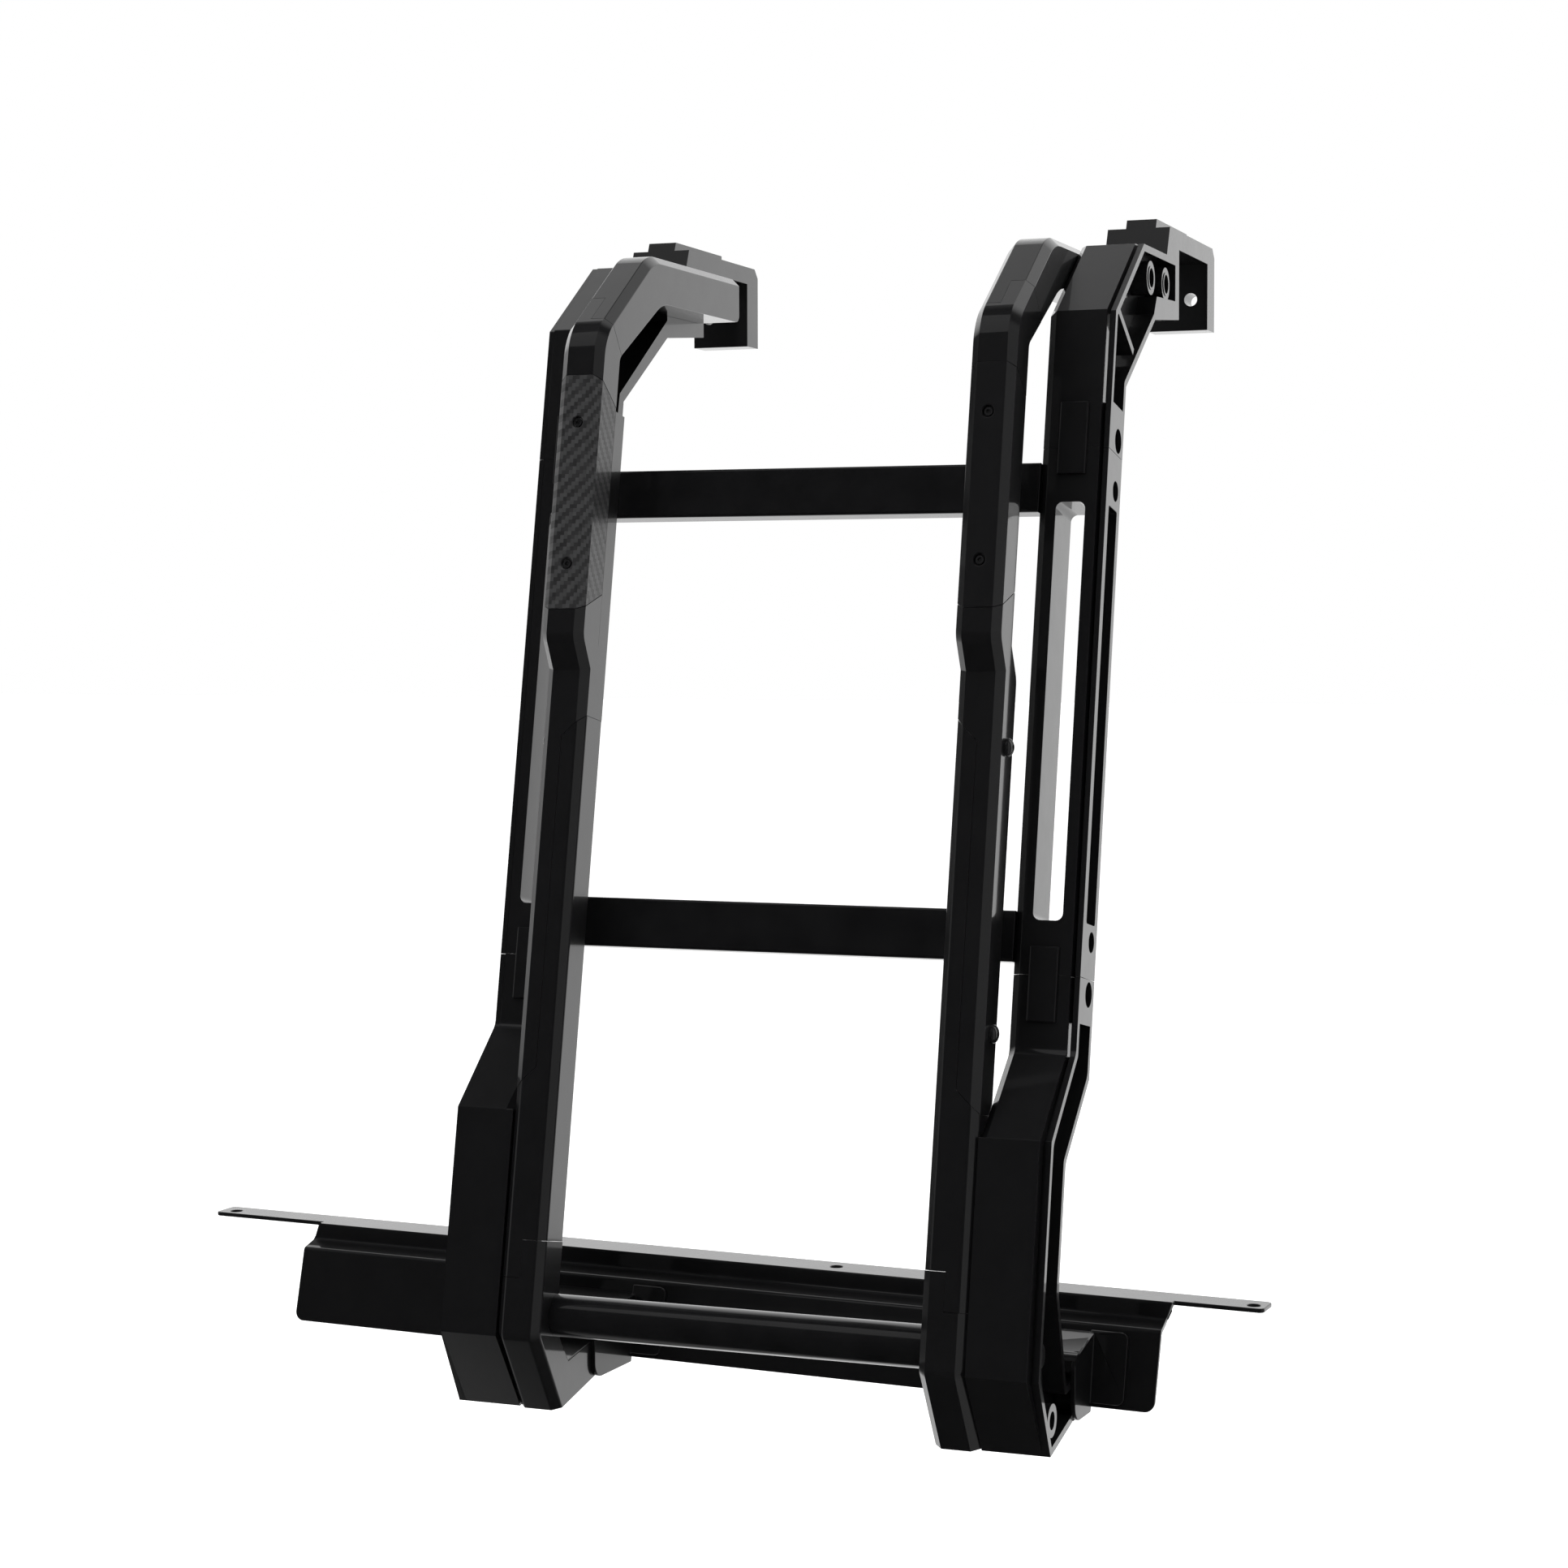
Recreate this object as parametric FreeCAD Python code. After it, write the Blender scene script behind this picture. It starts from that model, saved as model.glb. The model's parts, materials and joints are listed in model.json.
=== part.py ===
import FreeCAD, Part
import math
import os

os.makedirs("parts", exist_ok=True)

# Side ladder for a roof rack. Millimetres, X along the rungs, Y towards the vehicle, Z up.
# The origin lies on the lower face of the body bracket's flange, in the ladder's middle plane.

# Lean of the rails and place of the foot tube's axis
LEAN_DEG = 11.2
TUBE_Y = -147.0
TUBE_Z = -12.0
TUBE_R = 14.5
SPIGOT_R = 8.0
SPIGOT_CLEARANCE = 0.2

# Inner rails: across the ladder, then across the rail (out) and along it (up) from the tube's axis
INNER_CLEAR = 267.4
INNER_WIDTH = 31.2
INNER_DEPTH = 31.0
INNER_BACK = 0.0
INNER_BEVEL = 5.5
GRIP_STEP = 15.5
STEP_LOW_UP = 440.0
STEP_HIGH_UP = 460.0
GRIP_LOW_UP = 480.0
GRIP_HIGH_UP = 645.5
GRIP_SEAM_RISE = 16.0
SPINE_HIGH_UP = 627.0
BEND_UP = 677.0
LONG_LAP_LOW_UP = 150.0
LONG_LAP_HIGH_UP = 410.0
LONG_LAP_SLANT = 16.0
FOOT_LAP_LOW_UP = 24.0
FOOT_LAP_HIGH_UP = 49.5
ARM_LAP_INBOARD = 17.0
ARM_LAP_OUTBOARD = 47.0
SEAM = 0.15

# Outer rails
RAIL_GAP = 5.7
OUTER_WIDTH = 46.3
LEG_WIDTH = 41.0
SIDE_PLATE = 3.7
SIDE_GROOVE = 1.8
OUTER_FRONT = 26.0
OUTER_BACK = 66.5
OUTER_BEVEL = 5.5
PLATE_SETBACK = 3.5
NECK_SETBACK = 10.0
LOWER_SEAM_UP = 246.5
UPPER_SEAM_UP = 605.0
SLOT_LOW_UP = 283.0
SLOT_HIGH_UP = 567.0
SLOT_WIDTH = 20.4
SLOT_INSET = 12.5
SLOT_R = 5.0
JOG_FRONT_DROP = 50.5
JOG_BACK_DROP = 65.5
JOG_LENGTH = 59.5
JOG_BACK_LAG = 13.0
LEG_FRONT = -28.0
LEG_DEPTH = 46.0
LEG_PLATE_SETBACK = 9.0
LEG_REACH = 150.0
SPLICE_WIDTH = 20.0
SPLICE_LENGTH = 50.0
SPLICE_PROUD = 3.0
SPLICE_INSET = 12.2
SPLICE_SHIFT = 6.0

# Pockets and blind holes in the outboard faces
POCKET_RIM = 5.0
POCKET_DEPTH = 14.0
POCKET_R = 2.0
CHANNEL_INSET = 8.0
CHANNEL_WIDTH = 22.0
CHANNEL_DEPTH = 6.0
SIDE_HOLE_DEPTH = 3.4
MID_HOLE_R = 7.0
MID_HOLE_INSET = 25.0
CASTING_HOLE_R = 8.5
CASTING_HOLE_INSET = 10.0
SIDE_HOLE_OUT = 53.0
LEG_POCKET_DROP = 30.5
FOOT_BOSS_BACK = 10.5
FOOT_BOSS_DROP = 44.0
FOOT_BOSS_R = 11.0
FOOT_HOLE_R = 6.0
ARM_POCKET_RISE = 33.0
ARM_BOSS_DROP = 21.5
ARM_BOSSES_BACK = (264.5, 309.0)
ARM_BOSS_R = 8.5
ARM_HOLE_R = 4.5
ARM_RIB_FRONT = (165.0, 687.0)
ARM_RIB_BACK = (213.0, 657.0)
ARM_RIB = 5.0

# Feet, measured level from the tube's axis
KNEE_UP = -16.0
INNER_TOE_BACK = 2.0
OUTER_TOE_BACK = 7.0
FOOT_DROP = 67.0
HEEL_BACK = 72.0
HEEL_DROP = 55.0
HEEL_TOP_DROP = 28.0
HEEL_R = 5.0
INNER_NOTCH_BACK = 18.0
INNER_NOTCH_DROP = 35.0
INNER_CALF_UP = -8.0
OUTER_NOTCH_BACK = 45.0
OUTER_NOTCH_DROP = 30.0
OUTER_CALF_UP = 40.0

# Roof arms and rack hooks, measured level from the tube's axis
ARM_TOP = 735.0
ARM_DEPTH = 33.5
ARM_CROOK_DEPTH = 50.0
ARM_END_DEPTH = 43.5
INNER_ARM_END = 344.5
INNER_ARM_SHOULDER = 176.0
ARM_END_R = 6.0
OUTER_ARM_END = 349.0
OUTER_ARM_SHOULDER = 239.0
OUTER_BEND_FRONT_UP = 700.5
OUTER_BEND_BACK_UP = 657.0
OUTER_ARM_CROOK = 276.0
HOOK_GAP = 94.0
HOOK_LEG = 23.5
HOOK_ROOF = 13.5
HOOK_GAP_ABOVE_ARM = 7.5
HOOK_SEAT = 38.0
HOOK_LEG_DROP = 50.0
HOOK_HOLE_R = 5.0
HOOK_HOLE_SHARE = 0.53
HOOK_HOLE_INSET = 13.0
HOOK_PAD_INSET = 11.0
HOOK_PAD_INBOARD = 13.0
HOOK_PAD_PROUD = 6.8
HOOK_PAD_SETBACK = 2.0
HOOK_PAD_LENGTH = 98.0
HOOK_BACK_BEVEL = 7.0
HOOK_FRONT_LEAN = 9.0

# Rungs
RUNG_PITCH = 306.0
RUNG_ABOVE_SEAM = 25.3
RUNG_HEIGHT = 34.4
RUNG_DEPTH = 17.0
RUNG_SETBACK = 1.0
RUNG_EDGE_R = 2.0

# Body bracket: bent sheet, turned a little about Z against the rungs
BRACKET_YAW_DEG = -3.8
SHEET = 3.0
FLANGE_DEPTH = 30.0
TONGUE_DEPTH = 24.0
TONGUE_R = 4.0
BRACKET_LEFT = -504.0
BRACKET_RIGHT = 328.0
PLATE_LEFT = -406.0
PLATE_RIGHT = 267.0
PLATE_END_SLANT = 3.6
PLATE_DROP = 65.5
PLATE_LEAN_DEG = 13.0
PLATE_CORNER_R = 7.0
DROP_HEIGHT = 9.0
JOGGLE_OUT = 17.0
JOGGLE_DROP = 3.5
FLANGE_HOLE_R = 4.5
FLANGE_HOLES_X = (-491.0, 16.0, 319.0)

# Bracket hoods that carry the feet
HOOD_FRONT_BACK = 58.0
HOOD_TOP_DROP = 23.5
HOOD_SLOPE = 0.215
HOOD_LOW_DROP = 57.0
HOOD_CORNER_R = 11.0
HOOD_CLEARANCE = 0.6
HOOD_TAB = 23.0
HOOD_TAB_TOP = 4.0
HOOD_TAB_HEIGHT = 48.0
HOOD_TAB_R = 5.0

LEAN = math.radians(LEAN_DEG)
INNER_X0 = INNER_CLEAR / 2
INNER_X1 = INNER_X0 + INNER_WIDTH
LEG_X0 = INNER_X1 + RAIL_GAP
OUTER_X1 = LEG_X0 + LEG_WIDTH
OUTER_X0 = OUTER_X1 - OUTER_WIDTH
BODY_X1 = OUTER_X1 - SIDE_PLATE
RUNG_OUT = OUTER_FRONT + RUNG_SETBACK
INNER_MID_X = (INNER_X0 + INNER_X1) / 2
GRIP_BACK = INNER_BACK - GRIP_STEP
JOG_LOW_UP = LOWER_SEAM_UP - JOG_FRONT_DROP - JOG_LENGTH
LOWER_RUNG_UP = LOWER_SEAM_UP + RUNG_ABOVE_SEAM
Z_AXIS = FreeCAD.Vector(0, 0, 1)


def level(back, up):
    """Point in the YZ plane, measured level from the tube's axis."""
    return FreeCAD.Vector(0, TUBE_Y + back, TUBE_Z + up)


def rail(out, up):
    """Point in the YZ plane, measured across and along the leaning rails from the tube's axis."""
    back = out * math.cos(LEAN) + up * math.sin(LEAN)
    height = -out * math.sin(LEAN) + up * math.cos(LEAN)
    return level(back, height)


def prism(points, x0, x1):
    """Side profile in YZ, extruded along X."""
    wire = Part.makePolygon(points + [points[0]])
    face = Part.Face(wire)
    solid = face.extrude(FreeCAD.Vector(x1 - x0, 0, 0))
    return solid.translated(FreeCAD.Vector(x0, 0, 0))


def edges_on(shape, points, tolerance=0.01):
    """Edges along X through the given profile points."""
    found = []
    for edge in shape.Edges:
        ends = [vertex.Point for vertex in edge.Vertexes]
        if len(ends) != 2 or abs(ends[0].x - ends[1].x) < tolerance:
            continue
        for point in points:
            offsets = [math.hypot(end.y - point.y, end.z - point.z) for end in ends]
            if max(offsets) < tolerance:
                found.append(edge)
                break
    return found


def edges_between(shape, path, xs, tolerance=0.01):
    """Edges that run along the path of profile points, at the given X places."""
    found = []
    for edge in shape.Edges:
        middle = edge.valueAt((edge.FirstParameter + edge.LastParameter) / 2)
        if min(abs(middle.x - x) for x in xs) > tolerance:
            continue
        flat = FreeCAD.Vector(0, middle.y, middle.z)
        for start, end in zip(path, path[1:]):
            along = end - start
            share = (flat - start).dot(along) / along.dot(along)
            foot = start + along * share
            if -0.001 < share < 1.001 and (flat - foot).Length < tolerance:
                found.append(edge)
                break
    return found


def mirrored(shape):
    return shape.mirror(FreeCAD.Vector(0, 0, 0), FreeCAD.Vector(1, 0, 0))


def cylinder_x(radius, x0, x1, centre):
    base = FreeCAD.Vector(x0, centre.y, centre.z)
    return Part.makeCylinder(radius, x1 - x0, base, FreeCAD.Vector(1, 0, 0))


def save(name, shape):
    shape.exportStep("parts/" + name + ".step")


def save_pair(name, right_shape):
    """The right-hand piece and its mirror image on the left."""
    save("right_" + name, right_shape)
    save("left_" + name, mirrored(right_shape))


def foot_profile(front, toe_back, shank_back, calf_up, notch):
    """Boot-like side profile: straight shank, cut-back toe and a heel that reaches into the hood."""
    return [
        rail(front, KNEE_UP),
        level(toe_back, -FOOT_DROP),
        level(HEEL_BACK, -HEEL_DROP),
        level(HEEL_BACK, -HEEL_TOP_DROP),
        notch,
        rail(shank_back, calf_up),
    ]


def bevel_front(shape, path, size):
    """Bevels on both sides of an inner rail's front."""
    edges = edges_between(shape, path, (INNER_X0, INNER_X1))
    return shape.makeChamfer(size, edges)


def inner_foot():
    front = INNER_BACK - INNER_DEPTH
    notch = level(INNER_NOTCH_BACK, -INNER_NOTCH_DROP)
    boot = foot_profile(front, INNER_TOE_BACK, INNER_BACK, INNER_CALF_UP, notch)
    points = [rail(front, FOOT_LAP_HIGH_UP)] + boot + [rail(INNER_BACK, FOOT_LAP_HIGH_UP)]
    foot = bevel_front(prism(points, INNER_X0, INNER_X1), points[:3], INNER_BEVEL)
    foot = foot.makeFillet(HEEL_R, edges_on(foot, points[3:5]))
    boss = cylinder_x(TUBE_R, INNER_X0, INNER_X1, rail(0, 0))
    lap = lap_block(INNER_MID_X, INNER_X1, FOOT_LAP_LOW_UP, FOOT_LAP_HIGH_UP)
    bore = cylinder_x(SPIGOT_R + SPIGOT_CLEARANCE, INNER_X0 - 1, INNER_X1 + 1, rail(0, 0))
    return foot.fuse(boss).removeSplitter().cut(lap).cut(bore)


def lap_block(x0, x1, low_up, high_up):
    """Cutting block across an inner rail between two stations."""
    wide = 4 * INNER_DEPTH
    points = [rail(-wide, low_up), rail(wide, low_up), rail(wide, high_up + 1), rail(-wide, high_up + 1)]
    return prism(points, x0, x1 + wide)


def inner_lower_rail():
    """From the foot's lap up to the long lap, with its inboard half running up beside the upper rail."""
    front = INNER_BACK - INNER_DEPTH
    path = [rail(front, FOOT_LAP_LOW_UP + SEAM), rail(front, LONG_LAP_HIGH_UP)]
    points = path + [rail(INNER_BACK, LONG_LAP_HIGH_UP), rail(INNER_BACK, FOOT_LAP_LOW_UP + SEAM)]
    body = bevel_front(prism(points, INNER_X0, INNER_X1), path, INNER_BEVEL)
    lap = prism(
        [rail(-INNER_DEPTH * 2, FOOT_LAP_LOW_UP), rail(INNER_DEPTH, FOOT_LAP_LOW_UP),
         rail(INNER_DEPTH, FOOT_LAP_HIGH_UP + SEAM), rail(-INNER_DEPTH * 2, FOOT_LAP_HIGH_UP + SEAM)],
        INNER_X0 - 1, INNER_MID_X + SEAM)
    return body.cut(lap).cut(long_lap_cutter(SEAM / 2))


def long_lap_cutter(shift):
    """Space that the upper rail takes: the outboard half, with slanted ends, and all above it."""
    def at(x, up):
        point = rail(-INNER_DEPTH * 2, up)
        return FreeCAD.Vector(x, point.y, point.z)
    middle = INNER_MID_X - shift
    outline = [
        at(INNER_X1 + 1, LONG_LAP_LOW_UP - shift),
        at(middle, LONG_LAP_LOW_UP + LONG_LAP_SLANT - shift),
        at(middle, LONG_LAP_HIGH_UP - LONG_LAP_SLANT - shift),
        at(INNER_X0 - 1, LONG_LAP_HIGH_UP - shift),
        at(INNER_X0 - 1, BEND_UP),
        at(INNER_X1 + 1, BEND_UP),
    ]
    face = Part.Face(Part.makePolygon(outline + [outline[0]]))
    depth = rail(INNER_DEPTH * 4, 0) - rail(0, 0)
    return face.extrude(depth)


def inner_upper_rail():
    """From the grip down past the step and along the long lap, with a half-wide spine behind the grip."""
    low_front = INNER_BACK - INNER_DEPTH
    high_front = GRIP_BACK - INNER_DEPTH
    path = [
        rail(high_front, GRIP_LOW_UP - SEAM),
        rail(high_front, STEP_HIGH_UP),
        rail(low_front, STEP_LOW_UP),
        rail(low_front, LONG_LAP_LOW_UP),
    ]
    points = path + [
        rail(INNER_BACK, LONG_LAP_LOW_UP),
        rail(INNER_BACK, STEP_LOW_UP),
        rail(GRIP_BACK, STEP_HIGH_UP),
        rail(GRIP_BACK, GRIP_LOW_UP + GRIP_SEAM_RISE - SEAM),
    ]
    body = bevel_front(prism(points, INNER_X0, INNER_X1), path, INNER_BEVEL)
    spine_front = GRIP_BACK + SEAM
    spine_points = [
        rail(spine_front, STEP_LOW_UP),
        rail(spine_front, SPINE_HIGH_UP),
        rail(INNER_BACK, SPINE_HIGH_UP),
        rail(INNER_BACK, STEP_LOW_UP),
    ]
    spine = prism(spine_points, INNER_X0, INNER_MID_X)
    return body.common(long_lap_cutter(-SEAM / 2)).fuse(spine).removeSplitter()


def grip_panel():
    front = GRIP_BACK - INNER_DEPTH
    path = [rail(front, GRIP_LOW_UP), rail(front, GRIP_HIGH_UP)]
    points = path + [
        rail(GRIP_BACK, GRIP_HIGH_UP - GRIP_SEAM_RISE),
        rail(GRIP_BACK, GRIP_LOW_UP + GRIP_SEAM_RISE),
    ]
    return bevel_front(prism(points, INNER_X0, INNER_X1), path, INNER_BEVEL)


def inner_arm_paths():
    """Front and back side profiles of the inner rail above the grip, bending over the roof."""
    front = GRIP_BACK - INNER_DEPTH
    bottom = ARM_TOP - ARM_DEPTH
    front_path = [
        rail(front, GRIP_HIGH_UP + SEAM),
        rail(front, BEND_UP),
        level(INNER_ARM_SHOULDER, ARM_TOP),
        level(INNER_ARM_END, ARM_TOP),
    ]
    back_path = [
        level(INNER_ARM_END, bottom),
        level(INNER_ARM_SHOULDER + ARM_DEPTH / 2, bottom),
        rail(GRIP_BACK, BEND_UP - ARM_DEPTH / 3),
        rail(GRIP_BACK, GRIP_HIGH_UP - GRIP_SEAM_RISE + SEAM),
    ]
    return front_path, back_path


def arm_lap_plane(offset):
    """Cutting block above a plane square to the slanted stretch, at an offset along it."""
    front_path, back_path = inner_arm_paths()
    low = front_path[1]
    along = (front_path[2] - low).normalize()
    across = FreeCAD.Vector(0, along.z, -along.y)
    start = low + along * offset
    wide = INNER_ARM_END
    far = 2 * INNER_ARM_END
    return [
        start - across * wide,
        start + across * wide,
        start + across * wide + along * far,
        start - across * wide + along * far,
    ]


def inner_top(upper):
    """The bend piece or the arm tip: the same bent bar, split by a stepped lap."""
    front_path, back_path = inner_arm_paths()
    points = front_path + back_path
    bar = prism(points, INNER_X0, INNER_X1)
    bar = bar.makeFillet(ARM_END_R, edges_on(bar, [back_path[0]]))
    bar = bevel_front(bar, front_path, INNER_BEVEL)
    gap = SEAM / 2 if upper else -SEAM / 2
    inboard = prism(arm_lap_plane(ARM_LAP_INBOARD + gap), INNER_X0 - 1, INNER_MID_X - gap)
    outboard = prism(arm_lap_plane(ARM_LAP_OUTBOARD + gap), INNER_MID_X - gap, INNER_X1 + 1)
    above = inboard.fuse(outboard)
    return bar.common(above) if upper else bar.cut(above)


def outer_side(points, plate_points, neck_points, bevel_path):
    """An outer rail's box body, bevelled inboard, with its side plate set off by a groove."""
    body = prism(points, OUTER_X0, BODY_X1 - SIDE_GROOVE)
    body = body.makeChamfer(OUTER_BEVEL, edges_between(body, bevel_path, (OUTER_X0,)))
    neck = prism(neck_points, BODY_X1 - SIDE_GROOVE, BODY_X1)
    plate = prism(plate_points, BODY_X1, OUTER_X1)
    return body.fuse([neck, plate]).removeSplitter()


def pocket(points):
    """Cutter for a deep pocket in an outboard face, inside a rim that follows the outline."""
    face = Part.Face(Part.makePolygon(points + [points[0]])).makeOffset2D(-POCKET_RIM)
    cutter = face.extrude(FreeCAD.Vector(POCKET_DEPTH + 1, 0, 0))
    return cutter.translated(FreeCAD.Vector(OUTER_X1 - POCKET_DEPTH, 0, 0))


def side_hole(radius, centre, depth):
    """Cutter for a blind hole in an outboard face."""
    return cylinder_x(radius, OUTER_X1 - depth, OUTER_X1 + 1, centre)


def side_boss(radius, centre):
    """Round island left standing in a pocket."""
    return cylinder_x(radius, OUTER_X1 - POCKET_DEPTH - 1, OUTER_X1 + 1, centre)


def mid_profile(setback):
    """Side profile of a mid rail between its two seams."""
    front = OUTER_FRONT + setback
    low = LOWER_SEAM_UP + SEAM / 2
    high = UPPER_SEAM_UP - SEAM / 2
    return [rail(front, low), rail(front, high), rail(OUTER_BACK, high), rail(OUTER_BACK, low)]


def outer_mid_rail():
    points, plate, neck = [mid_profile(setback) for setback in (0, PLATE_SETBACK, NECK_SETBACK)]
    body = outer_side(points, plate, neck, points[:2]).cut(rail_slot()).cut(side_channel())
    for up in (LOWER_SEAM_UP + MID_HOLE_INSET, UPPER_SEAM_UP - MID_HOLE_INSET):
        body = body.cut(side_hole(MID_HOLE_R, rail(SIDE_HOLE_OUT, up), SIDE_HOLE_DEPTH))
    return body


def side_channel():
    """Long channel beside the slot in a mid rail's outboard face."""
    front = OUTER_FRONT + PLATE_SETBACK + CHANNEL_INSET
    back = front + CHANNEL_WIDTH
    points = [
        rail(front, SLOT_LOW_UP), rail(front, SLOT_HIGH_UP),
        rail(back, SLOT_HIGH_UP), rail(back, SLOT_LOW_UP),
    ]
    cutter = prism(points, OUTER_X1 - CHANNEL_DEPTH, OUTER_X1 + 1)
    return cutter.makeFillet(POCKET_R, edges_on(cutter, points))


def rail_slot():
    """Slot with round corners, cut through from front to back."""
    x0 = OUTER_X0 + SLOT_INSET
    start = rail(OUTER_FRONT - 1, SLOT_LOW_UP)
    block = Part.makeBox(SLOT_WIDTH, OUTER_BACK - OUTER_FRONT + 2, SLOT_HIGH_UP - SLOT_LOW_UP)
    upright = [edge for edge in block.Edges if abs(edge.tangentAt(edge.FirstParameter).y) > 0.9]
    block = block.makeFillet(SLOT_R, upright)
    block.rotate(FreeCAD.Vector(0, 0, 0), FreeCAD.Vector(1, 0, 0), -LEAN_DEG)
    return block.translated(FreeCAD.Vector(x0, start.y, start.z))


def leg_profile(front, leg_front):
    """Side profile of a lower leg: straight, then stepping outwards, then the foot."""
    high = LOWER_SEAM_UP - SEAM / 2
    leg_back = LEG_FRONT + LEG_DEPTH
    notch = level(OUTER_NOTCH_BACK, -OUTER_NOTCH_DROP)
    shank = [rail(front, high), rail(front, LOWER_SEAM_UP - JOG_FRONT_DROP), rail(leg_front, JOG_LOW_UP)]
    boot = foot_profile(leg_front, OUTER_TOE_BACK, leg_back, OUTER_CALF_UP, notch)
    jog_back = rail(leg_back, JOG_LOW_UP - JOG_BACK_LAG)
    calf = [jog_back, rail(OUTER_BACK, LOWER_SEAM_UP - JOG_BACK_DROP), rail(OUTER_BACK, high)]
    return shank + boot + calf


def outer_lower_leg():
    """Casting that steps out from the rail to the foot."""
    plate_front = OUTER_FRONT + PLATE_SETBACK
    points = leg_profile(OUTER_FRONT, LEG_FRONT)
    plate = leg_profile(plate_front, LEG_FRONT + LEG_PLATE_SETBACK)
    neck = leg_profile(OUTER_FRONT + NECK_SETBACK, LEG_FRONT + NECK_SETBACK)
    channel_up = LOWER_SEAM_UP - LEG_POCKET_DROP + POCKET_RIM
    channel = [rail(plate_front, channel_up)] + plate[1:-1] + [rail(OUTER_BACK, channel_up)]
    boss_at = level(FOOT_BOSS_BACK, -FOOT_BOSS_DROP)
    hollow = pocket(channel).cut(side_boss(FOOT_BOSS_R, boss_at))
    beside_foot = [
        rail(-LEG_REACH, JOG_LOW_UP), rail(LEG_REACH, JOG_LOW_UP),
        rail(LEG_REACH, -LEG_REACH), rail(-LEG_REACH, -LEG_REACH),
    ]
    leg = outer_side(points, plate, neck, points[:3]).cut(hollow)
    leg = leg.cut(prism(beside_foot, OUTER_X0 - 1, LEG_X0))
    leg = leg.cut(side_hole(FOOT_HOLE_R, boss_at, POCKET_DEPTH))
    hole_at = rail(SIDE_HOLE_OUT, LOWER_SEAM_UP - CASTING_HOLE_INSET)
    leg = leg.cut(side_hole(CASTING_HOLE_R, hole_at, SIDE_HOLE_DEPTH))
    bore = cylinder_x(SPIGOT_R + SPIGOT_CLEARANCE, LEG_X0 - 1, OUTER_X1 + 1, rail(0, 0))
    return leg.cut(bore)


def arm_profile(setback):
    """Side profile of a roof arm: up the rail, over the bend and level to the rack."""
    low = UPPER_SEAM_UP + SEAM / 2
    return [
        rail(OUTER_FRONT + setback, low),
        rail(OUTER_FRONT + setback, OUTER_BEND_FRONT_UP),
        level(OUTER_ARM_SHOULDER + setback, ARM_TOP),
        level(OUTER_ARM_END, ARM_TOP),
        level(OUTER_ARM_END, ARM_TOP - ARM_END_DEPTH),
        level(OUTER_ARM_CROOK, ARM_TOP - ARM_CROOK_DEPTH),
        rail(OUTER_BACK, OUTER_BEND_BACK_UP),
        rail(OUTER_BACK, low),
    ]


def arm_rib():
    """Slanted rib across a roof arm's pocket, at the bend."""
    start = level(*ARM_RIB_FRONT)
    end = level(*ARM_RIB_BACK)
    along = (end - start).normalize()
    half = FreeCAD.Vector(0, along.z, -along.y) * (ARM_RIB / 2)
    points = [start - half, end - half, end + half, start + half]
    return prism(points, OUTER_X1 - POCKET_DEPTH - 1, OUTER_X1 + 1)


def roof_arm():
    """Casting that carries the outer rail up, over the roof's edge and back to the rack."""
    points, plate, neck = [arm_profile(setback) for setback in (0, PLATE_SETBACK, NECK_SETBACK)]
    channel_up = UPPER_SEAM_UP + ARM_POCKET_RISE - POCKET_RIM
    channel_front = rail(OUTER_FRONT + PLATE_SETBACK, channel_up)
    channel = [channel_front] + plate[1:-1] + [rail(OUTER_BACK, channel_up)]
    hollow = pocket(channel).cut(arm_rib())
    bosses = [level(back, ARM_TOP - ARM_BOSS_DROP) for back in ARM_BOSSES_BACK]
    for boss_at in bosses:
        hollow = hollow.cut(side_boss(ARM_BOSS_R, boss_at))
    arm = outer_side(points, plate, neck, points[:3]).cut(hollow)
    for boss_at in bosses:
        arm = arm.cut(side_hole(ARM_HOLE_R, boss_at, POCKET_DEPTH))
    hole_at = rail(SIDE_HOLE_OUT, UPPER_SEAM_UP + CASTING_HOLE_INSET)
    return arm.cut(side_hole(CASTING_HOLE_R, hole_at, SIDE_HOLE_DEPTH))


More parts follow.
